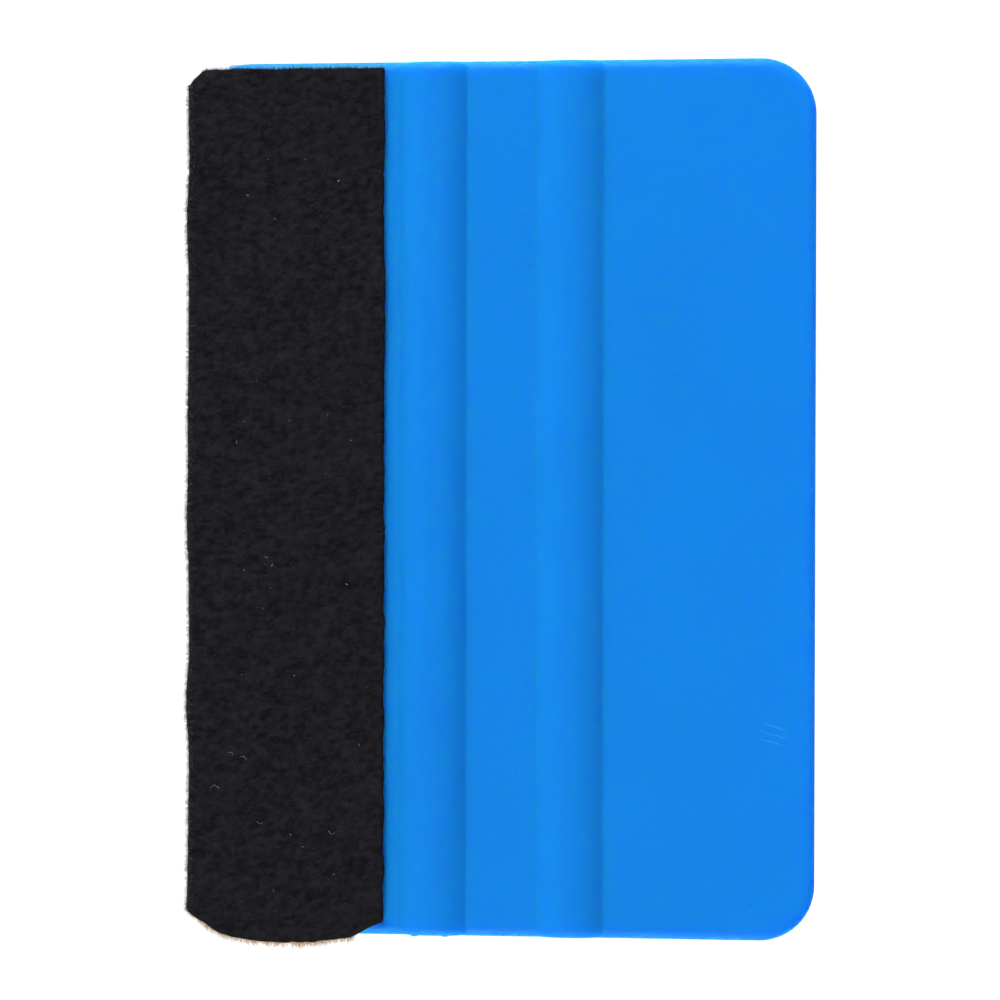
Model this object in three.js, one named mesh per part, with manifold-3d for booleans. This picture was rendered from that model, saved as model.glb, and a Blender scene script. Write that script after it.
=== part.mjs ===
// Felt-edged hand squeegee for pressing down vinyl film. Millimetres, +Z up.
// X runs across the card with the felt at -X, Y runs along the ridges, Z is the thickness.
// Each piece is drawn about the card's own centre, and the group then puts the middle of the
// whole object's underside at the origin.

import * as THREE from 'three';
import { mergeVertices } from 'three/addons/utils/BufferGeometryUtils.js';
import Module from 'manifold-3d';

const wasm = await Module();
wasm.setup();

// Card: one moulding, the same on both faces.
const cardLength = 101.6; // along Y
const cardWidth = 72.2; // along X, from working edge to working edge
const cornerRadius = 6.4; // of the four corners in plan
const panelThickness = 2.4; // between and beside the ridges
const edgeThickness = 1.4; // at both working edges, which are fully rounded

// Ridges: two on each face, each a shallow arc with a narrow flat land along its crown.
const ridgeWidth = 7.7;
const ridgeHeight = 1.8; // above the panel
const ridgeSpacing = 15.9; // centre to centre
const ridgePairShift = -0.1; // the pair sits a hair towards the felt
const crownLand = 1.2;
const crownEndRadius = 0.6; // rounds each crown's two ends

// Felt strip, folded round the -X working edge, and the adhesive film on its back.
const feltThickness = 0.9;
const filmThickness = 0.12;
const bondGap = 0.02; // between card and film, and between film and felt
const bareStrip = 1.8; // from the felt's inner edge to the foot of the first ridge

// Plan of the two layers' cut ends. The corner cuts are straight, and the tail is bowed between
// them. inset is how far a head stops short of the card's end, and the cut is its corner at the
// fold. The film's head is trimmed to the card, so it shows past the felt's.
const feltHead = { inset: 0.75, across: 2.2, along: 2.4 };
const filmHead = { inset: 0.15, across: 5.2, along: 5.0 };
const filmMargin = 0.3; // the film stops this much short of the felt's other cut edges
const tailOverhang = 1.05; // the tail runs past the card's end
const tailBow = 0.85; // height of the tail's bow
const tailFoldCut = { across: 4.3, along: 2.8 }; // corner cut at the fold
const tailInnerCut = { across: 3.9, along: 1.9 }; // corner cut at the inner edge

const arcSteps = 10; // facets in each arc

const noseRadius = edgeThickness / 2;
const fullThickness = panelThickness + 2 * ridgeHeight;
const filmOffset = bondGap; // of the film's inner face from the card's surface
const feltOffset = filmOffset + filmThickness + bondGap;
const foldEdge = -(cardWidth / 2 + feltOffset + feltThickness); // X of the fold's outer face

const materials = {
  plastic: new THREE.MeshStandardMaterial({ color: 0x1887e6, roughness: 0.42, metalness: 0 }),
  felt: new THREE.MeshStandardMaterial({ color: 0x211f26, roughness: 1, metalness: 0 }),
  film: new THREE.MeshStandardMaterial({ color: 0xcfe2ea, roughness: 0.3, metalness: 0 }),
};

// X of a ridge's centre line, and of its outer foot, where the tapering wing begins.
// side is -1 towards the felt and +1 towards the bare edge.
const ridgeCentre = (side) => ridgePairShift + (side * ridgeSpacing) / 2;
const wingRoot = (side) => ridgeCentre(side) + (side * ridgeWidth) / 2;

// X of the axis that a working edge is rounded about.
const noseCentre = (side) => side * (cardWidth / 2 - noseRadius);

const feltInnerEdge = wingRoot(-1) - bareStrip;

// A wing's two faces run from the ridge's feet to a tangent on the rounded edge.
// Returns the slope of the upper one, in radians.
function wingTaper(side) {
  const run = Math.abs(noseCentre(side) - wingRoot(side));
  const rise = panelThickness / 2;
  return Math.atan2(rise, run) - Math.asin(noseRadius / Math.hypot(run, rise));
}

// A prism along Z of an XY outline, centred on Z = 0.
function prismAlongZ(outline, height) {
  const options = { depth: height, bevelEnabled: false, curveSegments: arcSteps };
  return new THREE.ExtrudeGeometry(outline, options).translate(0, 0, -height / 2);
}

// A prism along Y of an XZ section.
function prismAlongY(section, length) {
  return prismAlongZ(section, length).rotateX(Math.PI / 2);
}

// A prism along X of a YZ profile.
function prismAlongX(profile, width) {
  return prismAlongY(profile, width).rotateZ(Math.PI / 2);
}

function solidOf(geometry) {
  const bare = geometry.clone().deleteAttribute('normal').deleteAttribute('uv');
  const merged = mergeVertices(bare);
  const vertProperties = new Float32Array(merged.getAttribute('position').array);
  const triVerts = new Uint32Array(merged.getIndex().array);
  return new wasm.Manifold(new wasm.Mesh({ numProp: 3, vertProperties, triVerts }));
}

function geometryOf(solid) {
  const { vertProperties, triVerts } = solid.getMesh();
  const geometry = new THREE.BufferGeometry();
  geometry.setAttribute('position', new THREE.BufferAttribute(vertProperties, 3));
  geometry.setIndex(new THREE.BufferAttribute(triVerts, 1));
  return geometry;
}

function roundedRectangle(width, height, radius) {
  const x = width / 2 - radius;
  const y = height / 2 - radius;
  const shape = new THREE.Shape();
  shape.absarc(x, y, radius, 0, Math.PI / 2);
  shape.absarc(-x, y, radius, Math.PI / 2, Math.PI);
  shape.absarc(-x, -y, radius, Math.PI, (3 * Math.PI) / 2);
  shape.absarc(x, -y, radius, (3 * Math.PI) / 2, 2 * Math.PI);
  return shape;
}

// The panel with its two wings and rounded working edges, without the ridges.
function bladeSection() {
  const foot = panelThickness / 2;
  const right = Math.PI / 2 - wingTaper(1);
  const left = Math.PI / 2 + wingTaper(-1);
  const shape = new THREE.Shape();
  shape.absarc(noseCentre(1), 0, noseRadius, -right, right);
  shape.lineTo(wingRoot(1), foot);
  shape.lineTo(wingRoot(-1), foot);
  shape.absarc(noseCentre(-1), 0, noseRadius, left, 2 * Math.PI - left);
  shape.lineTo(wingRoot(-1), -foot);
  shape.lineTo(wingRoot(1), -foot);
  return shape;
}

// A ridge of the upper face and the one below it, as one body through the panel.
// Each arc passes through the foot on the panel and the edge of the crown's land.
function ridgeSection(centre) {
  const foot = ridgeWidth / 2;
  const land = crownLand / 2;
  const drop = (foot ** 2 - land ** 2 - ridgeHeight ** 2) / (2 * ridgeHeight);
  const radius = Math.hypot(foot, drop);
  const footAngle = Math.asin(drop / radius);
  const landAngle = Math.acos(land / radius);
  const axisZ = panelThickness / 2 - drop;
  const shape = new THREE.Shape();
  shape.absarc(centre, axisZ, radius, footAngle, landAngle);
  shape.absarc(centre, axisZ, radius, Math.PI - landAngle, Math.PI - footAngle);
  shape.absarc(centre, -axisZ, radius, Math.PI + footAngle, Math.PI + landAngle);
  shape.absarc(centre, -axisZ, radius, 2 * Math.PI - landAngle, 2 * Math.PI - footAngle);
  return shape;
}

function makeCard() {
  let solid = solidOf(prismAlongY(bladeSection(), cardLength));
  for (const side of [-1, 1]) {
    solid = solid.add(solidOf(prismAlongY(ridgeSection(ridgeCentre(side)), cardLength)));
  }
  const plan = roundedRectangle(cardWidth, cardLength, cornerRadius);
  const profile = roundedRectangle(cardLength, fullThickness, crownEndRadius);
  return solid
    .intersect(solidOf(prismAlongZ(plan, fullThickness)))
    .intersect(solidOf(prismAlongX(profile, cardWidth)));
}

// A point on the -X wing's upper face, raised by offset, at the given X.
function wingPoint(offset, x) {
  const taper = wingTaper(-1);
  const radius = noseRadius + offset;
  const tangentX = noseCentre(-1) - radius * Math.sin(taper);
  return [x, radius * Math.cos(taper) + (x - tangentX) * Math.tan(taper)];
}

// A layer folded round the -X working edge, between two offsets from the card's surface.
function foldedSection(inner, outer, edge) {
  const start = Math.PI / 2 + wingTaper(-1);
  const end = 2 * Math.PI - start;
  const [x, outerZ] = wingPoint(outer, edge);
  const innerZ = wingPoint(inner, edge)[1];
  const shape = new THREE.Shape();
  shape.moveTo(x, innerZ);
  shape.lineTo(x, outerZ);
  shape.absarc(noseCentre(-1), 0, noseRadius + outer, start, end);
  shape.lineTo(x, -outerZ);
  shape.lineTo(x, -innerZ);
  shape.absarc(noseCentre(-1), 0, noseRadius + inner, end, start, true);
  return shape;
}

// A layer seen from above, with its inner edge and tail drawn back by margin from the felt's.
function layerPlan(head, margin) {
  const inner = feltInnerEdge - margin;
  const end = cardLength / 2 - head.inset;
  const tail = -(cardLength / 2 + tailOverhang - tailBow) + margin;
  const bowMiddle = (foldEdge + tailFoldCut.across + inner - tailInnerCut.across) / 2;
  const shape = new THREE.Shape();
  shape.moveTo(inner, end);
  shape.lineTo(foldEdge + head.across, end);
  shape.lineTo(foldEdge, end - head.along);
  shape.lineTo(foldEdge, tail + tailFoldCut.along);
  shape.lineTo(foldEdge + tailFoldCut.across, tail);
  shape.quadraticCurveTo(bowMiddle, tail - 2 * tailBow, inner - tailInnerCut.across, tail);
  shape.lineTo(inner, tail + tailInnerCut.along);
  return shape;
}

function makeFoldedLayer(inner, outer, head, margin) {
  const reach = cardLength + 2 * tailOverhang;
  const section = foldedSection(inner, outer, feltInnerEdge - margin);
  const height = 2 * (panelThickness + outer);
  return solidOf(prismAlongY(section, reach)).intersect(
    solidOf(prismAlongZ(layerPlan(head, margin), height)),
  );
}

function named(name, solid, material) {
  const mesh = new THREE.Mesh(geometryOf(solid), material);
  mesh.name = name;
  return mesh;
}

const squeegee = new THREE.Group();
squeegee.add(
  named('blade_card', makeCard(), materials.plastic),
  named(
    'adhesive_film',
    makeFoldedLayer(filmOffset, filmOffset + filmThickness, filmHead, filmMargin),
    materials.film,
  ),
  named(
    'felt_strip',
    makeFoldedLayer(feltOffset, feltOffset + feltThickness, feltHead, 0),
    materials.felt,
  ),
);
squeegee.position.set(-(foldEdge + cardWidth / 2) / 2, tailOverhang / 2, fullThickness / 2);

export default squeegee;
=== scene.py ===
# %% [markdown]
# # Felt-edged hand squeegee
#
# A sign maker slides this card over vinyl film to press it down. It is three pieces: a blue moulded
# plastic card, a strip of black felt folded round one long edge, and the adhesive film that holds
# the felt on. Every lesson cell below says what one piece or finish is on the real object, how it
# could be made, and why it is made the way it is.
#
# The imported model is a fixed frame: X runs across the card with the felt at -X, Y runs along the
# two ridges, and Z is the thickness. It is loaded first, and every place below is worked out from it.

# %% Load the frame and the tools
import math

import bmesh
import bpy
import numpy as np
from mathutils import Euler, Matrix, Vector


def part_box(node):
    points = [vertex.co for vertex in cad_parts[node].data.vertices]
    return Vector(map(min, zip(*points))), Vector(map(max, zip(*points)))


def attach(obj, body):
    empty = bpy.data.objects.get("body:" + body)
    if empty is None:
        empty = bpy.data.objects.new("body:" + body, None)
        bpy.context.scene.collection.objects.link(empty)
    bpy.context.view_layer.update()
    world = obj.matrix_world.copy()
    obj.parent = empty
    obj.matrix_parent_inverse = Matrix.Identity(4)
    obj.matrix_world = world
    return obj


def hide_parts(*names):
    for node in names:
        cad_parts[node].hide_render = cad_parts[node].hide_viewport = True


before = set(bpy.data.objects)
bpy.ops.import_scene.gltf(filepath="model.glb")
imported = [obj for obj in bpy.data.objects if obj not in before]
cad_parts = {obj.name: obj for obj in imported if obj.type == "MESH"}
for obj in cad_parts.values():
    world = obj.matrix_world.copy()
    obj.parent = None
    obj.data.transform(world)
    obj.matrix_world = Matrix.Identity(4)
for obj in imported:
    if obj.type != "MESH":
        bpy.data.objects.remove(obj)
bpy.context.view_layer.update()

MM = 0.001
card_low, card_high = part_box("blade_card")
felt_low, felt_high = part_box("felt_strip")
card_size = card_high - card_low
card_middle = (card_low + card_high) / 2
print("card, mm:", [round(side / MM, 2) for side in card_size])

# %% [markdown]
# ## Camera, floor and light
#
# A product picture of a flat tool is taken from nearly overhead. The camera could be orthographic,
# but a real one stands near and a few degrees to the side, so one long edge of the card looks
# slightly longer than the other. Distance and lean trade off against each other, and 35 cm is one
# pair that gives this perspective. It isn't the only one.
#
# The floor is a plain sheet that glows white, so the card casts no shadow on it. Two square soft
# lights stand low beyond the card's two ends. They shine along the ridges and not across them, so
# both flanks of a ridge go dark and the flat panel stays even. The surround is bright only near the
# horizon, and dim overhead.

# %% Camera
VIEW_DISTANCE = 350 * MM
VIEW_LEAN = (math.radians(-0.64), math.radians(5.65), 0)  # turned about X, then about Y
VIEW_ROLL = math.radians(0.11)
VIEW_WIDTH = 116.23 * MM  # what the picture takes in at the target's distance
VIEW_SHIFT = Vector((-0.33, -0.08, 0)) * MM  # of the picture's middle from the card's
SENSOR = 36.0

turn = Euler(VIEW_LEAN).to_matrix()
place = card_middle + VIEW_SHIFT + turn @ Vector((0, 0, VIEW_DISTANCE))
bpy.ops.object.camera_add(location=place)
camera = bpy.context.object
camera.rotation_euler = (turn @ Euler((0, 0, VIEW_ROLL)).to_matrix()).to_euler()
camera.data.sensor_width = SENSOR
camera.data.lens = SENSOR * VIEW_DISTANCE / VIEW_WIDTH
camera.data.clip_start = 10 * MM
bpy.context.scene.camera = camera
bpy.context.scene.view_settings.view_transform = "Standard"
print("lens, mm:", round(camera.data.lens, 1))


# %% Floor, surround and soft light
def plain_material(name, color, roughness):
    """A one-colour material, and its main shader."""
    material = bpy.data.materials.new(name)
    material.use_nodes = True
    shader = material.node_tree.nodes["Principled BSDF"]
    shader.inputs["Base Color"].default_value = (*color, 1)
    shader.inputs["Roughness"].default_value = roughness
    return material, shader


FLOOR_SIZE = 4.0
FLOOR_GREY = 0.12  # what it reflects, besides its own glow
FLOOR_GLOW = 1.0
bpy.ops.mesh.primitive_plane_add(size=FLOOR_SIZE, location=(0, 0, card_low.z))
floor = bpy.context.object
floor.name = "floor"
floor_paint, floor_shader = plain_material("white_floor", (FLOOR_GREY,) * 3, 0.9)
floor_shader.inputs["Emission Color"].default_value = (1, 1, 1, 1)
floor_shader.inputs["Emission Strength"].default_value = FLOOR_GLOW
floor.data.materials.append(floor_paint)

surround = bpy.data.worlds.new("white_surround")
surround.use_nodes = True
HORIZON_LIGHT, OVERHEAD_LIGHT = 1.0, 0.05
FADE_FROM, FADE_TO = 0.12, 0.2  # sine of the height above the horizon
sky = surround.node_tree
height = sky.nodes.new("ShaderNodeSeparateXYZ")
fade = sky.nodes.new("ShaderNodeMapRange")
sky.links.new(sky.nodes.new("ShaderNodeTexCoord").outputs["Generated"], height.inputs[0])
sky.links.new(height.outputs["Z"], fade.inputs["Value"])
fade.inputs["From Min"].default_value = FADE_FROM
fade.inputs["From Max"].default_value = FADE_TO
fade.inputs["To Min"].default_value = HORIZON_LIGHT
fade.inputs["To Max"].default_value = OVERHEAD_LIGHT
sky.links.new(fade.outputs["Result"], sky.nodes["Background"].inputs["Strength"])
sky.nodes["Background"].inputs["Color"].default_value = (1, 1, 1, 1)
bpy.context.scene.world = surround

LIGHT_DISTANCE = 0.9
LIGHT_LEAN = math.radians(66)  # from straight overhead
LIGHT_SIZE = 0.5
SOFT_LIGHTS = {"head_light": (95.5, 18.5), "tail_light": (-95.5, 12.5)}  # turn and power

for name, (turned, power) in SOFT_LIGHTS.items():
    towards = Euler((0, LIGHT_LEAN, math.radians(turned))).to_matrix() @ Vector((0, 0, 1))
    bpy.ops.object.light_add(type="AREA", location=towards * LIGHT_DISTANCE)
    light = bpy.context.object
    light.name = name
    light.rotation_euler = towards.to_track_quat("Z", "Y").to_euler()
    light.data.size = LIGHT_SIZE
    light.data.energy = power

# %% [markdown]
# ## The card
#
# The card is one injection moulding, 2.4 mm thick in the middle, and each wing thins evenly to its
# working edge. Two ridges run its whole length, and the underside is taken to match the top. Its
# outline has 6.4 mm corners, and every edge is rounded over so that it doesn't scratch the film.
#
# It could be drawn as a section and extruded, but then the corners and the rounding have to be cut
# in afterwards across the ridges. Here it starts as a block of the right size. The corners are
# bevelled first, while the block is plain, and its two faces are inset in rings for the rounded
# rim. Then the block is bisected along every line where the section turns, and each vertex is moved
# to its height.

# %% Sizes of the card's section
PANEL = 2.4 * MM
EDGE = 1.4 * MM
CORNER = 6.4 * MM
RIDGE_WIDTH = 7.7 * MM
RIDGE_HEIGHT = (card_size.z - PANEL) / 2
RIDGE_SPACING = 15.9 * MM
RIDGE_SHIFT = -0.1 * MM
CROWN_LAND = 1.2 * MM
FOOT_FILLET = 0.2 * MM  # to each side of the line where a ridge meets the panel

ridge_centres = [RIDGE_SHIFT - RIDGE_SPACING / 2, RIDGE_SHIFT + RIDGE_SPACING / 2]
ridge_foot = RIDGE_WIDTH / 2
arc_drop = (ridge_foot**2 - (CROWN_LAND / 2) ** 2 - RIDGE_HEIGHT**2) / (2 * RIDGE_HEIGHT)
arc_radius = math.hypot(ridge_foot, arc_drop)
land_turn = math.asin(CROWN_LAND / 2 / arc_radius)
foot_turn = math.asin(ridge_foot / arc_radius)


def half_thickness(x):
    """Half the card's thickness at x, counted from the card's middle."""
    from_crown = min(abs(x - centre) for centre in ridge_centres)
    past_foot = (from_crown - ridge_foot) / FOOT_FILLET
    if past_foot < -1:
        arc = math.sqrt(arc_radius**2 - from_crown**2) - arc_drop
        return PANEL / 2 + min(arc, RIDGE_HEIGHT)
    side = 1 if x > RIDGE_SHIFT else -1
    root = side * ridge_centres[(side + 1) // 2] + ridge_foot
    along = max(0.0, side * x - root) / (card_size.x / 2 - root)
    fillet = math.tan(foot_turn) * FOOT_FILLET * max(0.0, 1 - past_foot) ** 2 / 4
    return PANEL / 2 + along * (EDGE - PANEL) / 2 + fillet


def past_card(x, y):
    """How far x, y is outside the card's outline, and less than 0 inside it."""
    side = np.abs(x - card_middle.x) - (card_size.x / 2 - CORNER)
    end = np.abs(y - card_middle.y) - (card_size.y / 2 - CORNER)
    round_part = np.hypot(np.maximum(side, 0), np.maximum(end, 0))
    return round_part + np.minimum(np.maximum(side, end), 0) - CORNER


print("half thickness at the felt's edge, mm:", round(half_thickness(-card_size.x / 2) / MM, 2))
print("steepest slope of a ridge, degrees:", round(math.degrees(foot_turn), 1))


# %% Helpers for edit mode
def focus(piece):
    """Deselects everything, then selects one piece and makes it active."""
    bpy.ops.object.select_all(action="DESELECT")
    piece.select_set(True)
    bpy.context.view_layer.objects.active = piece


def edit(piece, kind="EDGE"):
    """Enters edit mode on one piece, choosing by vertices, edges or faces."""
    focus(piece)
    bpy.ops.object.mode_set(mode="EDIT")
    bpy.ops.mesh.select_mode(type=kind)


def pick(piece, kind, rule):
    """In edit mode, selects just the verts, edges or faces that rule is true of."""
    bpy.ops.mesh.select_all(action="DESELECT")
    mesh = bmesh.from_edit_mesh(piece.data)
    chosen = [part for part in getattr(mesh, kind) if rule(part)]
    for part in chosen:
        part.select_set(True)
    bmesh.update_edit_mesh(piece.data)
    return len(chosen)


def cut(point, normal):
    """In edit mode, cuts new edges all the way through the piece where a plane meets it."""
    bpy.ops.mesh.select_all(action="SELECT")
    bpy.ops.mesh.bisect(plane_co=point, plane_no=normal, threshold=0.001 * MM)


def run_of(edge):
    """The vector from one end of an edge to the other."""
    return edge.verts[1].co - edge.verts[0].co


def finish_edit():
    """Leaves edit mode."""
    bpy.ops.object.mode_set(mode="OBJECT")


# %% Block with rounded corners
CORNER_STEPS = 14

bpy.ops.object.select_all(action="DESELECT")
bpy.ops.mesh.primitive_cube_add(
    size=1, location=card_middle, scale=(card_size.x, card_size.y, PANEL)
)
card = bpy.context.object
card.name = "card_moulding"
bpy.ops.object.transform_apply(location=True, rotation=False, scale=True)
edit(card)
found = pick(card, "edges", lambda edge: abs(run_of(edge).z) > PANEL / 2)
bpy.ops.mesh.bevel(offset=CORNER, offset_type="OFFSET", segments=CORNER_STEPS, affect="EDGES")
print("corner edges bevelled:", found)

# %% [markdown]
# The rim is rounded all the way round, top and bottom, over a width of 1.2 mm. Its rings lie closer
# together near the wall, where the rounding is steepest. A bevel could make the rounding at the
# end, but the card is thinner at its working edges than a bevel of that width allows. Where it is
# thin, the rounding here takes at most nine tenths of half the thickness.

# %% Rings for the rounded rim
RIM_ROUND = 1.2 * MM
RIM_SHARE = 0.9  # of half the thickness, at most
RIM_STEPS = 7


def rim_drop(x, y):
    """How far the rounded rim lies below the plain section at x, y."""
    inside = min(max(-past_card(x, y), 0) / RIM_ROUND, 1)
    depth = min(RIM_ROUND, RIM_SHARE * half_thickness(x - card_middle.x))
    return depth * (1 - math.sqrt(1 - (1 - inside) ** 2))


quarter = math.pi / 2
rings = [RIM_ROUND * (1 - math.cos(quarter * step / RIM_STEPS)) for step in range(RIM_STEPS + 1)]
bpy.ops.mesh.select_mode(type="FACE")
found = pick(card, "faces", lambda face: abs(face.normal.z) > 0.5)
for outer, inner in zip(rings, rings[1:]):
    bpy.ops.mesh.inset(thickness=inner - outer, use_even_offset=True)
print("faces inset:", found, "rings at, mm:", [round(ring / MM, 2) for ring in rings])

# %% Cut the block along every line of its section
RIDGE_STEPS = 9
FILLET_STEPS = 4

turns = [land_turn + (foot_turn - land_turn) * step / RIDGE_STEPS for step in range(RIDGE_STEPS)]
lines = [arc_radius * math.sin(turn) for turn in turns]
for step in range(FILLET_STEPS + 1):
    lines.append(ridge_foot + FOOT_FILLET * (2 * step / FILLET_STEPS - 1))
for centre in ridge_centres:
    for line in lines:
        for side in (-1, 1):
            cut((card_middle.x + centre + side * line, 0, 0), (1, 0, 0))
cut(card_middle, (0, 0, 1))
print("lines on each ridge:", 2 * len(lines))

# %% Move each line to its height
END_DRAFT = math.radians(4)  # the two ends lean in from the mould's parting line

mesh = bmesh.from_edit_mesh(card.data)
for vertex in mesh.verts:
    above = (vertex.co.z - card_middle.z) / (PANEL / 2)  # 1, 0 or -1
    section = half_thickness(vertex.co.x - card_middle.x)
    height = abs(above) * (section - rim_drop(vertex.co.x, vertex.co.y))
    vertex.co.z = card_middle.z + above * height
    drawn_in = height * math.tan(END_DRAFT) / (card_size.y / 2)
    vertex.co.y += (card_middle.y - vertex.co.y) * drawn_in
bmesh.update_edit_mesh(card.data)
finish_edit()
print("ends lean in at the crowns, mm:", round(RIDGE_HEIGHT * math.tan(END_DRAFT) / MM, 2))

# %% [markdown]
# The two halves of the mould meet halfway up the rim, and leave a fine raised line all the way
# round. Two cuts mark out the line, and its faces are then pushed out by a few hundredths of a
# millimetre.
#
# A smooth shaded mesh averages the normals of the faces at each corner, which would make the flat
# channels look rounded. The Weighted Normal modifier lets the large flat faces win.

# %% Parting line, and normals that keep the flats flat
PARTING_LINE = 0.1 * MM
PARTING_HEIGHT = 0.04 * MM

edit(card, "FACE")
for side in (-1, 1):
    cut(card_middle + Vector((0, 0, side * PARTING_LINE / 2)), (0, 0, 1))


def is_parting(face):
    """True of the faces in the narrow band halfway up the rim."""
    off_middle = abs(face.calc_center_median().z - card_middle.z)
    return off_middle < PARTING_LINE / 2 and abs(face.normal.z) < 0.5


found = pick(card, "faces", is_parting)
bpy.ops.mesh.extrude_region_shrink_fatten(
    TRANSFORM_OT_shrink_fatten={"value": PARTING_HEIGHT, "use_even_offset": True}
)
finish_edit()
bpy.ops.object.shade_smooth_by_angle(angle=math.radians(40))
bpy.ops.object.modifier_add(type="WEIGHTED_NORMAL")
card.modifiers[-1].keep_sharp = True
bpy.ops.object.modifier_apply(modifier=card.modifiers[-1].name)
print("faces in the parting line:", found)

# %% [markdown]
# ## Blue plastic
#
# The card is a bright blue with a satin finish and a faint grain. Light goes a little way into the
# plastic and comes out around the edges, so the ends look lighter and the shaded flanks stay blue
# instead of going grey.
#
# A painted look-up of colours could imitate that, but subsurface scattering does it in any light.
# Blue is given the largest radius, because it travels furthest in blue plastic.
#
# Everything around the card is white, and a real satin face would mirror that at a glancing angle.
# With this smooth a shader it washes the blue out altogether, so the reflection is faded out there.

# %% Helpers for materials
def node(material, kind, links=(), **settings):
    """Adds a node, sets its properties, and links or sets the inputs that are named in links."""
    made = material.node_tree.nodes.new("ShaderNode" + kind)
    for name, value in settings.items():
        setattr(made, name, value)
    for name, source in dict(links).items():
        socket = made.inputs[name]
        if isinstance(source, bpy.types.NodeSocket):
            material.node_tree.links.new(source, socket)
        else:
            socket.default_value = source
    return made


def place_in(material, centre=(0, 0, 0), turn=0.0):
    """The place on the piece, in metres, counted from centre along axes turned about Z."""
    where = node(material, "TexCoord").outputs["Object"]
    links = {"Vector": where, "Location": centre, "Rotation": (0, 0, turn)}
    return node(material, "Mapping", links, vector_type="TEXTURE").outputs["Vector"]


def maths(material, operation, *values):
    """The result of a Math node."""
    return node(material, "Math", dict(enumerate(values)), operation=operation).outputs[0]


def noise(material, where, size, detail=2.0, roughness=0.5):
    """Soft random values from 0 to 1, with features of the given size."""
    links = {"Vector": where, "Scale": 1 / size, "Detail": detail, "Roughness": roughness}
    return node(material, "TexNoise", links).outputs["Fac"]


def between(material, value, low, high, to_low=0.0, to_high=1.0):
    """Maps low..high to to_low..to_high, and holds it there outside."""
    links = {
        "Value": value,
        "From Min": low,
        "From Max": high,
        "To Min": to_low,
        "To Max": to_high,
    }
    return node(material, "MapRange", links).outputs["Result"]


def tinted(material, amount, first, second):
    """Goes from the first colour to the second as amount goes from 0 to 1."""
    ends = [(*end, 1) if isinstance(end, (tuple, list)) else end for end in (first, second)]
    links = {0: amount, 6: ends[0], 7: ends[1]}
    return node(material, "Mix", links, data_type="RGBA").outputs[2]


def bumped(material, height, depth, under=None):
    """A bump of the given depth, on top of the one under it."""
    links = {"Height": height, "Distance": depth}
    if under is not None:
        links["Normal"] = under
    return node(material, "Bump", links).outputs["Normal"]


# %% Blue plastic
BLUE = (0.006, 0.195, 0.58)
GLOSS = 0.03  # specular level of a face seen square on
DULL_FROM, DULL_PAST = 0.5, 0.9  # it fades out between these, where 0 is square on and 1 edge on
DARKER, LIGHTER = 0.96, 1.04  # of the blue, from place to place
MOTTLE_SIZE = 14 * MM
RUB_SIZE = 5 * MM
RUB_FROM, RUB_TO = 0.38, 0.46  # roughness, from place to place
SINK_SIZE, SINK_DEPTH = 9 * MM, 0.1 * MM
GRAIN_SIZE, GRAIN_DEPTH = 0.3 * MM, 0.006 * MM

blue, blue_shader = plain_material("blue_plastic", BLUE, 0.42)
blue_shader.inputs["Subsurface Weight"].default_value = 1.0
blue_shader.inputs["Subsurface Radius"].default_value = (0.1, 0.2, 3.0)
blue_shader.inputs["Subsurface Scale"].default_value = 1 * MM

where = place_in(blue)
swirl = noise(blue, where, MOTTLE_SIZE, detail=1)
mottle = tinted(blue, swirl, [DARKER * c for c in BLUE], [LIGHTER * c for c in BLUE])
rub = between(blue, noise(blue, where, RUB_SIZE, detail=4), 0.3, 0.7, RUB_FROM, RUB_TO)
blue.node_tree.links.new(rub, blue_shader.inputs["Roughness"])
facing = node(blue, "LayerWeight", {"Blend": 0.5}).outputs["Facing"]
gloss = between(blue, facing, DULL_FROM, DULL_PAST, GLOSS, 0.0)
blue.node_tree.links.new(gloss, blue_shader.inputs["Specular IOR Level"])
sinks = bumped(blue, noise(blue, where, SINK_SIZE, detail=1), SINK_DEPTH)
grain = bumped(blue, noise(blue, where, GRAIN_SIZE), GRAIN_DEPTH, sinks)
blue.node_tree.links.new(grain, blue_shader.inputs["Normal"])

# %% [markdown]
# A tool that has been handled carries marks. A few parallel scratches lie near the working edge,
# and there are a few darker specks. Both are far shallower than anything that could be modelled, so
# they are colour only.

# %% Scuff and specks
SCUFF_PLACE = card_middle + Vector((31.5, -27.0, 1.8)) * MM  # just above the upper face
SCUFF_TURN = math.radians(-15)
SCUFF_REACH = (1.5 * MM, 2.1 * MM)  # it fades out between these, from its middle
SCRATCH_SPACING = 0.9 * MM
SCRATCH_WANDER = 0.2 * MM
SCRATCH_WIDTH = (0.03 * MM, 0.09 * MM)  # full strength within the first, none past the second
SCUFFED = (0.05, 0.3, 0.62)
SPECK_SPACING = 24 * MM
SPECK_SIZE = (0.05 * MM, 0.1 * MM)
SPECKED = (0.001, 0.06, 0.25)

local = place_in(blue, SCUFF_PLACE, SCUFF_TURN)
split = node(blue, "SeparateXYZ", {0: local}).outputs
wiggle = between(blue, noise(blue, local, 1.2 * MM), 0, 1, -SCRATCH_WANDER, SCRATCH_WANDER)
to_line = maths(blue, "PINGPONG", maths(blue, "ADD", split["Y"], wiggle), SCRATCH_SPACING / 2)
scratches = between(blue, to_line, *SCRATCH_WIDTH, 0.6, 0.0)
away = node(blue, "VectorMath", {0: local}, operation="LENGTH").outputs["Value"]
scuff = maths(blue, "MULTIPLY", scratches, between(blue, away, *SCUFF_REACH, 1.0, 0.0))
cells = {"Vector": where, "Scale": 1 / SPECK_SPACING}
spot = node(blue, "TexVoronoi", cells, voronoi_dimensions="2D").outputs["Distance"]
speck = between(blue, spot, *(size / SPECK_SPACING for size in SPECK_SIZE), 0.8, 0.0)
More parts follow.
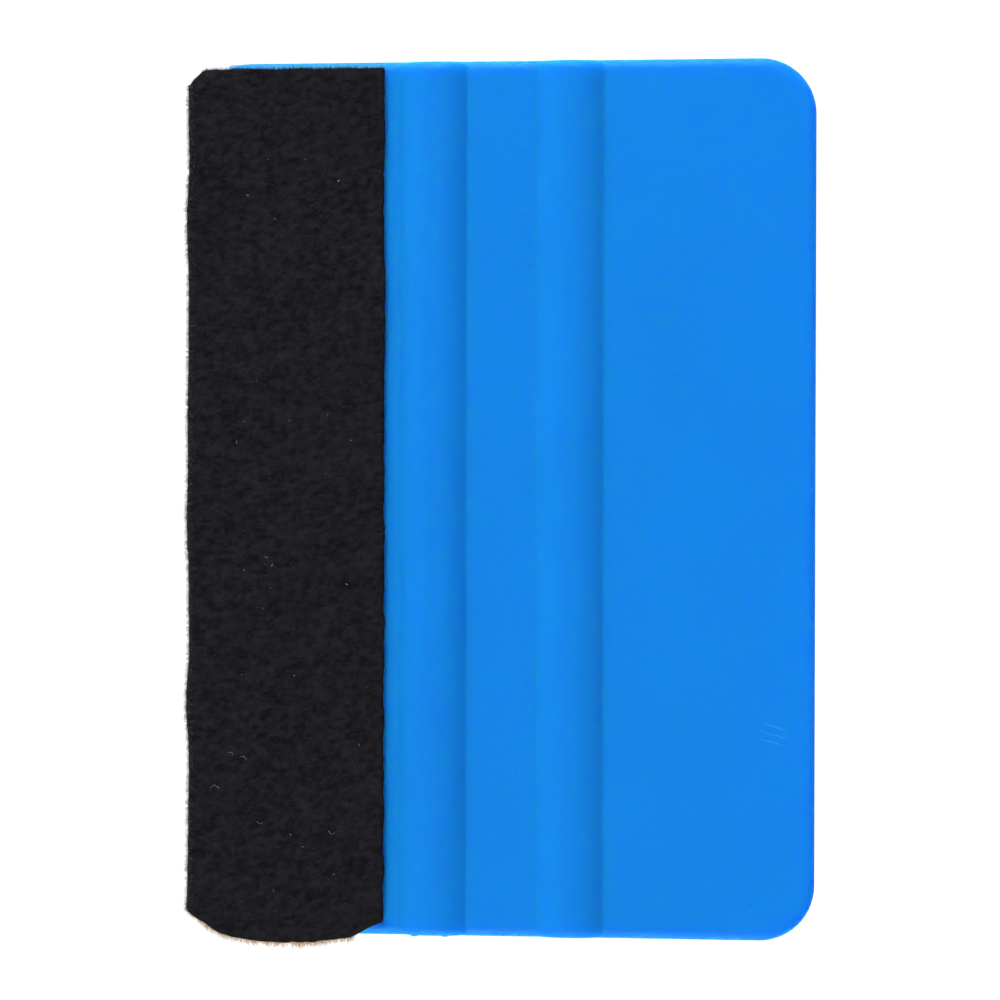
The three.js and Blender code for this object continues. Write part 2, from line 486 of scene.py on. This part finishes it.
marked = tinted(blue, speck, tinted(blue, scuff, mottle, SCUFFED), SPECKED)
blue.node_tree.links.new(marked, blue_shader.inputs["Base Color"])

card.data.materials.clear()
card.data.materials.append(blue)
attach(card, "root")
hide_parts("blade_card")

# %% [markdown]
# The end wall has two small marks at the tail end of the ridge beside the felt. They are taken for
# the stumps of gates, where plastic was let into the mould and then broken off. Each is a low round
# stump, modelled once as a short cylinder with a rounded rim, and copied.

# %% Gate stumps
GATE_PLACES = (-10.3 * MM, -6.7 * MM)  # from the card's middle
GATE_RADIUS = 0.45 * MM
GATE_HEIGHT = 0.2 * MM
GATE_SUNK = 0.5 * MM  # how deep its foot is inside the wall
GATE_ROUND = GATE_HEIGHT * 0.8

bpy.ops.object.select_all(action="DESELECT")
bpy.ops.mesh.primitive_cylinder_add(
    vertices=24,
    radius=GATE_RADIUS,
    depth=GATE_HEIGHT + GATE_SUNK,
    location=(0, card_low.y + (GATE_SUNK - GATE_HEIGHT) / 2, card_middle.z),
    rotation=(math.pi / 2, 0, 0),
)
first_gate = bpy.context.object
bpy.ops.object.transform_apply(location=True, rotation=True, scale=False)
edit(first_gate)
found = pick(first_gate, "edges", lambda edge: all(v.co.y < card_low.y for v in edge.verts))
bpy.ops.mesh.bevel(offset=GATE_ROUND, offset_type="OFFSET", segments=3, affect="EDGES")
finish_edit()
bpy.ops.object.shade_smooth_by_angle(angle=math.radians(40))
first_gate.data.materials.append(blue)
for number, x in enumerate(GATE_PLACES):
    focus(first_gate)
    bpy.ops.object.duplicate()
    gate = bpy.context.object
    gate.name = f"gate_stump_{number + 1}"
    gate.location.x = card_middle.x + x
    bpy.ops.object.transform_apply(location=True, rotation=False, scale=False)
    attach(gate, "root")
bpy.data.objects.remove(first_gate)
print("rim edges rounded on a stump:", found)

# %% [markdown]
# ## The folded layers
#
# The felt is cut as a flat strip and folded lengthwise round the card's left edge, with the
# adhesive film already on its back. Both layers are thin, even sheets that bend one way only, so
# they are made as the real ones are: a flat strip, given its thickness, its cut outline and its
# pile while it lies flat, and then folded. A cloth simulation could fold it too, but glue holds the
# strip to the card, so its shape is known.
#
# On the flat strip, "across" is counted from the fold line, positive on the upper leg, "along" is
# the same as Y, and "up" is away from the card. One function folds points from there onto the card.

# %% Sizes of the fold
FELT = 0.9 * MM
FILM = 0.12 * MM
BOND = 0.02 * MM  # between card and film, and between film and felt
BARE_STRIP = 1.8 * MM  # from the felt's inner edge to the foot of the ridge

felt_offset = BOND + FILM + BOND
fold_radius = EDGE / 2 + felt_offset + FELT / 2
nose_x = card_low.x + EDGE / 2
root_x = card_middle.x + ridge_centres[0] - ridge_foot
taper_run = math.hypot(root_x - nose_x, PANEL / 2)
taper = math.atan2(PANEL / 2, root_x - nose_x) - math.asin(EDGE / 2 / taper_run)
fold_arc = fold_radius * (math.pi / 2 - taper)
inner_edge = root_x - BARE_STRIP
leg = (inner_edge - nose_x + fold_radius * math.sin(taper)) / math.cos(taper)
half_strip = fold_arc + leg
print("flat strip, mm:", round(2 * half_strip / MM, 2), "x", round((felt_high.y - felt_low.y) / MM, 2))

# %% Fold flat points onto the card
PINCH = 0.35  # how much the two legs close up where no card lies between them
PINCH_REACH = 1.6 * MM


def fold(across, along, up):
    """Folds points of the flat strip round the card's edge."""
    turn = np.minimum(np.abs(across), fold_arc) / fold_radius
    past = np.maximum(np.abs(across) - fold_arc, 0)
    radius = fold_radius + up
    x = nose_x - radius * np.cos(turn) + past * math.cos(taper)
    z = radius * np.sin(turn) + past * math.sin(taper)
    open_end = np.abs(along - card_middle.y) > card_size.y / 2 - CORNER
    unheld = np.clip(past_card(x, along) / PINCH_REACH, 0, 1) * open_end
    z = z * (1 - PINCH * unheld)
    return np.stack([x, along, card_middle.z + np.sign(across) * z], axis=-1)


print("upper leg's height at the inner edge, mm:", fold(half_strip, 0, FELT / 2)[2] / MM)

# %% [markdown]
# The ends aren't cut square. The head has its corner at the fold snipped off. The tail is bowed,
# and both of its corners are snipped. The cuts go through both legs at once, after the strip is
# stuck on, so the outline depends on how far a point is from the fold.

# %% Outline of the strip's ends
HEAD_SNIP = (2.2 * MM, 2.4 * MM, 1.35)  # across, along, and how much it is rounded
TAIL_SNIP = (4.3 * MM, 2.8 * MM, 1.1)
TAIL_INNER_SNIP = (3.9 * MM, 1.9 * MM, 1.0)
TAIL_BOW = 0.85 * MM
HEAD_WANDER, TAIL_WANDER = 0.16 * MM, 0.14 * MM  # how far the blade strayed in all
SIDE_WAVE, SIDE_NIBBLE = 0.24, 0.1  # mm, how far the long cuts stray, slowly and quickly
EDGE_ONLY = 8  # the higher, the nearer to the edge a stray cut is felt
NOISE_MARGIN = 8  # cells before the strip's corner, so that no cell has a number below 0

rng = np.random.default_rng(7)
COARSE, MEDIUM, FINE = (rng.random((256, 512)) for _ in range(3))


def soft_noise(values, across, along, cell_across, cell_along):
    """Smooth values from 0 to 1 over the flat strip: one random value for each cell's corner."""
    column = (across + half_strip) / cell_across + NOISE_MARGIN
    row = (along - felt_low.y) / cell_along + NOISE_MARGIN
    left, low = np.floor(column).astype(int), np.floor(row).astype(int)
    ease = [part * part * (3 - 2 * part) for part in (column - left, row - low)]
    wide, deep = values.shape
    corner = [[values[(left + i) % wide, (low + j) % deep] for j in (0, 1)] for i in (0, 1)]
    near = corner[0][0] * (1 - ease[0]) + corner[1][0] * ease[0]
    far = corner[0][1] * (1 - ease[0]) + corner[1][1] * ease[0]
    return near * (1 - ease[1]) + far * ease[1]


def from_fold(across):
    """How far a point of the strip is from the fold's outer face, seen from above."""
    turn = np.minimum(np.abs(across), fold_arc) / fold_radius
    bend = FELT / 2 + fold_radius * (1 - np.cos(turn))
    return bend + np.maximum(np.abs(across) - fold_arc, 0)


def snip(distance, size):
    """How far a corner cut draws the end back, at a distance from the corner's side."""
    return size[1] * np.clip(1 - distance / size[0], 0, 1) ** size[2]


def head_line(across):
    """Y of the cut at the head."""
    wander = HEAD_WANDER * (soft_noise(MEDIUM, across, 0, 1.2 * MM, 1) - 0.5)
    return felt_high.y + wander - snip(from_fold(across), HEAD_SNIP)


def tail_line(across):
    """Y of the cut at the tail."""
    reach = from_fold(half_strip)
    distance = from_fold(across)
    bow_run = reach - TAIL_SNIP[0] - TAIL_INNER_SNIP[0]
    bow = np.clip((distance - TAIL_SNIP[0]) / bow_run, 0, 1)
    wander = TAIL_WANDER * (soft_noise(FINE, across, 0, 0.8 * MM, 1) - 0.5)
    drawn_back = snip(distance, TAIL_SNIP) + snip(reach - distance, TAIL_INNER_SNIP)
    return felt_low.y + TAIL_BOW * (1 - 4 * bow * (1 - bow)) + drawn_back + wander


def cut_to_shape(side_to_side, end_to_end):
    """Flat place of a point given as -1..1 from edge to edge and 0..1 from tail to head."""
    rough = half_strip * side_to_side
    tail, head = tail_line(rough), head_line(rough)
    along = tail + (head - tail) * end_to_end
    side = np.sign(side_to_side)
    wave = soft_noise(COARSE, side * half_strip, along, 1, 2.2 * MM) - 0.5
    nibble = soft_noise(FINE, side * half_strip, along, 1, 0.5 * MM) - 0.5
    edge = (SIDE_WAVE * wave + SIDE_NIBBLE * nibble) * MM
    return rough + side * edge * np.abs(side_to_side) ** EDGE_ONLY, along


print("head and tail at the middle of a leg, mm:", head_line(12 * MM) / MM, tail_line(12 * MM) / MM)

# %% [markdown]
# The felt itself starts as a plain grid, fine enough that its pile can be modelled. Solidify gives
# it its thickness. A small bevel then rounds the cut edges, where the pile has been crushed by the
# blade.

# %% Flat strip of felt
PITCH = 0.3 * MM


def flat_strip(name, width, length, thickness, rows_per_mm):
    """A flat grid at the world's middle, with a thickness: a start for each folded layer."""
    bpy.ops.object.select_all(action="DESELECT")
    bpy.ops.mesh.primitive_grid_add(
        x_subdivisions=round(width / PITCH),
        y_subdivisions=round(length * rows_per_mm / MM),
        size=1,
    )
    strip = bpy.context.object
    strip.name = name
    strip.scale = (width, length, 1)
    bpy.ops.object.transform_apply(location=True, rotation=False, scale=True)
    bpy.ops.object.modifier_add(type="SOLIDIFY")
    strip.modifiers[-1].thickness = thickness
    strip.modifiers[-1].offset = 0
    bpy.ops.object.modifier_apply(modifier=strip.modifiers[-1].name)
    return strip


def points_of(piece):
    """All vertices of a piece, as rows of x, y, z."""
    flat = np.empty(3 * len(piece.data.vertices))
    piece.data.vertices.foreach_get("co", flat)
    return flat.reshape(-1, 3)


def move_points(piece, points):
    """Puts all vertices of a piece in their new places."""
    piece.data.vertices.foreach_set("co", np.ascontiguousarray(points).ravel())
    piece.data.update()


felt_length = felt_high.y - felt_low.y
felt = flat_strip("felt_cloth", 2 * half_strip, felt_length, FELT, MM / PITCH)
EDGE_CRUSH = 0.22 * MM


def is_cut_edge(edge):
    """True of the edges between the felt's broad faces and its cut sides."""
    return len(edge.link_faces) == 2 and edge.calc_face_angle() > 1


edit(felt)
found = pick(felt, "edges", is_cut_edge)
bpy.ops.mesh.bevel(offset=EDGE_CRUSH, offset_type="OFFSET", segments=2, affect="EDGES")
finish_edit()
print("cut edges:", found, "faces:", len(felt.data.polygons))

# %% Pile, cut outline and fold
PILE_DEPTH = 0.16 * MM
PILE_LEVEL = 0.75  # the pile height that lies on the felt's true face
ROW_PITCH = 0.42 * MM
TUFT_SHARE, ROW_SHARE, DRIFT_SHARE = 0.56, 0.38, 0.06
PUFF_WAVE, PUFF_LEAST, PUFF_TAIL = 0.4, 0.04, 0.22  # mm, in waves, everywhere, and at the tail
PUFF_REACH = 3 * MM  # to each side of the fold line
PUFF_TAIL_REACH = 9 * MM


def pile_height(across, along):
    """From 0 in the pits between tufts to 1 on top of them. The pits lie in faint rows."""
    tufts = soft_noise(FINE, across, along, 0.42 * MM, 0.37 * MM)
    rows = soft_noise(MEDIUM, across, along, 0.9 * MM, ROW_PITCH)
    drifts = soft_noise(COARSE, across, along, 6 * MM, 4 * MM)
    return TUFT_SHARE * tufts + ROW_SHARE * rows + DRIFT_SHARE * drifts


def puff(across, along):
    """How far the felt stands off at the fold, where nothing presses it flat."""
    swell = PUFF_WAVE * (soft_noise(COARSE, 40 * MM, along, 1, 7 * MM) - 0.5) + PUFF_LEAST
    near_tail = PUFF_TAIL * np.exp(-(((along - felt_low.y) / PUFF_TAIL_REACH) ** 2))
    return (swell + near_tail) * MM * np.exp(-((across / PUFF_REACH) ** 2))


flat = points_of(felt)
side_to_side = flat[:, 0] / half_strip
end_to_end = flat[:, 1] / felt_length + 0.5
across, along = cut_to_shape(side_to_side, end_to_end)
pile = pile_height(across, along)
outer = flat[:, 2] > 0
up = flat[:, 2] + np.where(outer, PILE_DEPTH * (pile - PILE_LEVEL), 0) + puff(across, along)
move_points(felt, fold(across, along, up))
bpy.ops.object.shade_smooth()
print("felt stands, mm:", points_of(felt).min(axis=0) / MM, points_of(felt).max(axis=0) / MM)

# %% [markdown]
# ## Adhesive film
#
# The film is a clear sheet with a milky look where it lies on the plastic. It was trimmed to the
# card's end at the head, where the felt stops short, so a light sliver of it shows there. It is
# made and folded in the same way as the felt.

# %% Film, laid under the felt
FILM_MARGIN = 0.3 * MM  # inside the felt's inner edges
FILM_INSET = 0.15 * MM  # inside the card's ends
FILM_HEAD_SNIP = (5.2 * MM, 5.0 * MM, 1.0)  # across, along, and how much it is rounded
FILM_TAIL_SNIP = (2.3 * MM, 1.7 * MM, 1.0)

film_half = half_strip - FILM_MARGIN
film = flat_strip("adhesive_sheet", 2 * film_half, felt_length, FILM, 0.5)
flat = points_of(film)
across = flat[:, 0]
inside = np.clip(from_fold(across) - (card_low.x - felt_low.x), 0, CORNER)
corner_drop = CORNER - np.sqrt(CORNER**2 - (CORNER - inside) ** 2)
head = card_high.y - FILM_INSET - snip(from_fold(across), FILM_HEAD_SNIP)
tail = card_low.y + FILM_INSET + snip(from_fold(film_half) - from_fold(across), FILM_TAIL_SNIP)
tail = np.maximum(tail, card_low.y + FILM_INSET + corner_drop)
along = tail + (head - tail) * (flat[:, 1] / felt_length + 0.5)
film_up = flat[:, 2] - FELT / 2 - BOND - FILM / 2
move_points(film, fold(across, along, film_up))
bpy.ops.object.shade_smooth_by_angle(angle=math.radians(40))

MILKY = (0.1, 0.55, 0.85)
film_paint, film_shader = plain_material("milky_film", MILKY, 0.25)
film_shader.inputs["Alpha"].default_value = 0.45
film_shader.inputs["Specular IOR Level"].default_value = 0.2
where = place_in(film_paint)
streaks = bumped(film_paint, noise(film_paint, where, 2 * MM, detail=3), 0.03 * MM)
film_paint.node_tree.links.new(streaks, film_shader.inputs["Normal"])
smear = between(film_paint, noise(film_paint, where, 1.5 * MM, detail=3), 0.3, 0.7, 0.15, 0.4)
film_paint.node_tree.links.new(smear, film_shader.inputs["Roughness"])
film.data.materials.append(film_paint)
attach(film, "root")
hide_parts("adhesive_film")
print("film shows past the felt's head by, mm:", (card_high.y - FILM_INSET - felt_high.y) / MM)

# %% [markdown]
# ## Felt's fibres
#
# What makes felt look soft is loose fibres standing off it. A hair system would make them, but it
# can't be handed on as a mesh, so each fibre is a thin tapered spike of three sides. One spike is
# modelled and cut in two places, and its copies are bent, turned and planted on the flat strip by
# the thousand, then folded with it.

# %% One fibre
FIBRE_PARTS = 3
bpy.ops.object.select_all(action="DESELECT")
bpy.ops.mesh.primitive_cone_add(vertices=3, radius1=0.5, radius2=0, depth=1, location=(0, 0, 0.5))
fibre = bpy.context.object
bpy.ops.object.transform_apply(location=True, rotation=False, scale=False)
edit(fibre)
for part in range(1, FIBRE_PARTS):
    cut((0, 0, part / FIBRE_PARTS), (0, 0, 1))
finish_edit()
fibre_points = points_of(fibre)
fibre_faces = [list(face.vertices) for face in fibre.data.polygons]
ring_of = np.round(fibre_points[:, 2] * FIBRE_PARTS).astype(int)
bpy.data.objects.remove(fibre)
print("one fibre:", len(fibre_points), "points,", len(fibre_faces), "faces")


# %% Plant copies of it
def mixed(low, high, count):
    """Random values from low to high."""
    return rng.uniform(low, high, count)


def plant(name, roots, heading, lean, length, width, curl, droop=0.25):
    """Plants fibres at roots on the flat strip, as (across, along, up), and folds them with it.

    heading is the way a fibre points, seen from above, lean its angle off the surface, and curl and
    droop how far both change from part to part."""
    steps = np.arange(FIBRE_PARTS)
    turn = heading[:, None] + curl[:, None] * steps
    rise = lean[:, None] - droop * steps
    level = np.zeros_like(turn)
    way = np.stack([np.cos(rise) * np.cos(turn), np.cos(rise) * np.sin(turn), np.sin(rise)], -1)
    flank = np.stack([-np.sin(turn), np.cos(turn), level], -1)
    thick = np.cross(way, flank)
    run = np.concatenate([np.zeros((len(turn), 1, 3)), np.cumsum(way, axis=1)], axis=1)
    spine = roots[:, None, :] + run * length[:, None, None] / FIBRE_PARTS
    part = np.minimum(ring_of, FIBRE_PARTS - 1)
    girth = width[:, None, None]
    points = (
        spine[:, ring_of]
        + girth * fibre_points[:, :1] * flank[:, part]
        + girth * fibre_points[:, 1:2] * thick[:, part]
    )
    folded = fold(points[..., 0], points[..., 1], points[..., 2]).reshape(-1, 3)
    starts = range(0, len(folded), len(fibre_points))
    faces = [[start + corner for corner in face] for start in starts for face in fibre_faces]
    mesh = bpy.data.meshes.new(name)
    mesh.from_pydata(folded.tolist(), [], faces)
    shade = mesh.attributes.new("shade", "FLOAT", "POINT")
    shade.data.foreach_set("value", np.repeat(mixed(0, 1, len(turn)), len(fibre_points)))
    piece = bpy.data.objects.new(name, mesh)
    bpy.context.collection.objects.link(piece)
    print(name + ":", len(turn), "fibres")
    return piece


def root_points(side_to_side, end_to_end, depth):
    """Roots a little way down in the pile, from places on the strip."""
    across, along = cut_to_shape(side_to_side, end_to_end)
    pile = PILE_DEPTH * (pile_height(across, along) - PILE_LEVEL)
    return np.stack([across, along, FELT / 2 + pile - depth + puff(across, along)], axis=-1)


# %% Pile on both legs, and fuzz round the fold
WHOLE_TURN = 2 * math.pi
NAP_COUNT = 12000
WISP_COUNT = 2500
FUZZ_COUNT = 9000


def lying(name, leg, count, longest, thickest):
    """Fibres that lie on one leg, which is 1 above and -1 below."""
    roots = root_points(leg * mixed(0.05, 0.995, count), mixed(0.004, 0.996, count), 0.05 * MM)
    return plant(
        name,
        roots,
        heading=mixed(0, WHOLE_TURN, count),
        lean=mixed(0.2, 0.7, count),
        length=mixed(0.5, 1.0, count) * longest,
        width=mixed(0.6, 1.0, count) * thickest,
        curl=mixed(-0.7, 0.7, count),
        droop=0.35,
    )


LEGS = {"upper": 1, "lower": -1}
naps = [lying("felt_nap_" + n, leg, NAP_COUNT, 0.6 * MM, 0.08 * MM) for n, leg in LEGS.items()]
wisps = [lying("felt_wisps_" + n, leg, WISP_COUNT, 1.2 * MM, 0.05 * MM) for n, leg in LEGS.items()]

roots = root_points(mixed(-0.06, 0.06, FUZZ_COUNT), mixed(0, 1, FUZZ_COUNT), 0.02 * MM)
fold_fuzz = plant(
    "felt_fuzz_fold",
    roots,
    heading=mixed(0, WHOLE_TURN, FUZZ_COUNT),
    lean=mixed(0.5, 1.5, FUZZ_COUNT),
    length=mixed(0.3, 1.1, FUZZ_COUNT) * MM,
    width=mixed(0.02, 0.045, FUZZ_COUNT) * MM,
    curl=mixed(-1.4, 1.4, FUZZ_COUNT),
    droop=0.4,
)

# %% Fringes along the cuts
TAIL_FRINGE = 1300
HEAD_FRINGE = 1800
SIDE_FRINGE = 1500
TUFT_PLACES = (0.12, 0.585)  # on the upper leg, from the fold to the inner edge
TUFT_FIBRES = 35
TUFT_SPREAD = 0.013


def fringe(name, side_to_side, end_to_end, outward, length, width):
    """Fibres that stick out of a cut, at all heights in the felt's thickness."""
    count = len(side_to_side)
    across, along = cut_to_shape(side_to_side, end_to_end)
    height = mixed(-0.4, 0.45, count) * FELT
    roots = np.stack([across, along, height], axis=-1)
    return plant(
        name,
        roots,
        heading=outward + mixed(-0.4, 0.4, count),
        lean=mixed(-0.2, 0.4, count),
        length=mixed(0.3, 1.0, count) * length,
        width=mixed(0.6, 1.0, count) * width,
        curl=mixed(-0.5, 0.5, count),
        droop=0.1,
    )


tail_fringe = fringe(
    "felt_fringe_tail",
    mixed(-0.85, 0.85, TAIL_FRINGE),
    mixed(0.0, 0.002, TAIL_FRINGE),
    outward=-math.pi / 2,
    length=1.15 * MM,
    width=0.08 * MM,
)
tufts = np.repeat(TUFT_PLACES, TUFT_FIBRES)
tail_tufts = fringe(
    "felt_tufts_tail",
    tufts + rng.normal(0, TUFT_SPREAD, len(tufts)),
    np.zeros(len(tufts)),
    outward=-math.pi / 2,
    length=1.3 * MM,
    width=0.07 * MM,
)
head_fringe = fringe(
    "felt_fringe_head",
    mixed(-1, 1, HEAD_FRINGE),
    mixed(0.998, 1.0, HEAD_FRINGE),
    outward=math.pi / 2,
    length=0.6 * MM,
    width=0.06 * MM,
)
leg = np.sign(mixed(-1, 1, SIDE_FRINGE))
side_fringe = fringe(
    "felt_fringe_side",
    leg * mixed(0.995, 1.0, SIDE_FRINGE),
    mixed(0, 1, SIDE_FRINGE),
    outward=np.where(leg > 0, 0, math.pi),
    length=0.45 * MM,
    width=0.06 * MM,
)

# %% [markdown]
# Felt catches lint. The pale specks are single fibres of other cloth, lying loose on the pile, and
# a few longer, curled hairs lie towards the tail.

# %% Lint
LINT_SPECKS = 26
LINT_HAIRS = 5


def lint(name, end_to_end, length, curl):
    """Pale loose fibres lying on the upper leg."""
    count = len(end_to_end)
    roots = root_points(mixed(0.15, 0.95, count), end_to_end, -0.12 * MM)
    return plant(
        name,
        roots,
        heading=mixed(0, WHOLE_TURN, count),
        lean=mixed(0.0, 0.15, count),
        length=length,
        width=mixed(0.04, 0.07, count) * MM,
        curl=mixed(0.8, 1.0, count) * curl,
        droop=0.05,
    )


specks = lint("lint_specks", mixed(0.05, 0.95, LINT_SPECKS), mixed(0.15, 0.5, LINT_SPECKS) * MM, 0.5)
hairs = lint("lint_hairs", mixed(0.06, 0.3, LINT_HAIRS), mixed(0.9, 1.8, LINT_HAIRS) * MM, 1.2)

# %% [markdown]
# ## Black felt
#
# Black felt isn't quite black. Its colour here carries painted shade and painted light: it is darker
# in the pits between the tufts, where shade falls, and lighter on the tufts' tops, where light
# catches them. The cloth reads a "pile" value that was worked out with its shape, so that the
# painted shade and light fall in the right places. Every fibre has its own random "shade" of colour,
# because fibres never take the dye alike. The fibres at the tail's cut are paler and browner.

# %% Black felt
# The felt's own black, with painted shade for the pits and painted light for the tufts' tops.
FELT_PAINTED_PIT_SHADE = (0.004, 0.0036, 0.0046)
FELT_PAINTED_TUFT_LIGHT = (0.0125, 0.0118, 0.0145)
cloth_paint, cloth_shader = plain_material("black_felt", FELT_PAINTED_PIT_SHADE, 0.95)
cloth_shader.inputs["Specular IOR Level"].default_value = 0.05
pile_attribute = felt.data.attributes.new("pile", "FLOAT", "POINT")
pile_attribute.data.foreach_set("value", np.where(outer, pile, 0.5))
pile_value = node(cloth_paint, "Attribute", attribute_name="pile").outputs["Fac"]
# Pile height sets the mix: painted shade in the pits, painted light on the tufts' tops.
depth = between(cloth_paint, pile_value, 0.25, 0.8)
where = place_in(cloth_paint)
fuzz = noise(cloth_paint, where, 0.25 * MM, detail=3, roughness=0.7)
felt_with_painted_shade_and_light = tinted(cloth_paint, depth, FELT_PAINTED_PIT_SHADE, FELT_PAINTED_TUFT_LIGHT)
cloth_paint.node_tree.links.new(felt_with_painted_shade_and_light, cloth_shader.inputs["Base Color"])
matted = bumped(cloth_paint, fuzz, 0.15 * MM)
cloth_paint.node_tree.links.new(matted, cloth_shader.inputs["Normal"])
felt.data.materials.append(cloth_paint)


def fibre_material(name, dark, light):
    """A matt fibre colour that varies from fibre to fibre."""
    material, shader = plain_material(name, dark, 0.8)
    shader.inputs["Specular IOR Level"].default_value = 0.1
    shade = node(material, "Attribute", attribute_name="shade").outputs["Fac"]
    colour = tinted(material, shade, dark, light)
    material.node_tree.links.new(colour, shader.inputs["Base Color"])
    return material


pile_paint = fibre_material("pile_fibres", (0.006, 0.0055, 0.007), (0.028, 0.026, 0.031))
fuzz_paint = fibre_material("fuzz_fibres", (0.012, 0.011, 0.011), (0.07, 0.065, 0.06))
cut_paint = fibre_material("cut_fibres", (0.24, 0.15, 0.07), (0.8, 0.6, 0.32))
lint_paint = fibre_material("lint_fibres", (0.12, 0.12, 0.13), (0.6, 0.58, 0.52))

FIBRE_PIECES = {
    **dict.fromkeys(naps + wisps, pile_paint),
    side_fringe: pile_paint,
    head_fringe: pile_paint,
    fold_fuzz: fuzz_paint,
    tail_fringe: cut_paint,
    tail_tufts: cut_paint,
    specks: lint_paint,
    hairs: lint_paint,
}
for piece, paint in FIBRE_PIECES.items():
    piece.data.materials.append(paint)
for piece in (felt, *FIBRE_PIECES):
    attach(piece, "root")
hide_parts("felt_strip")
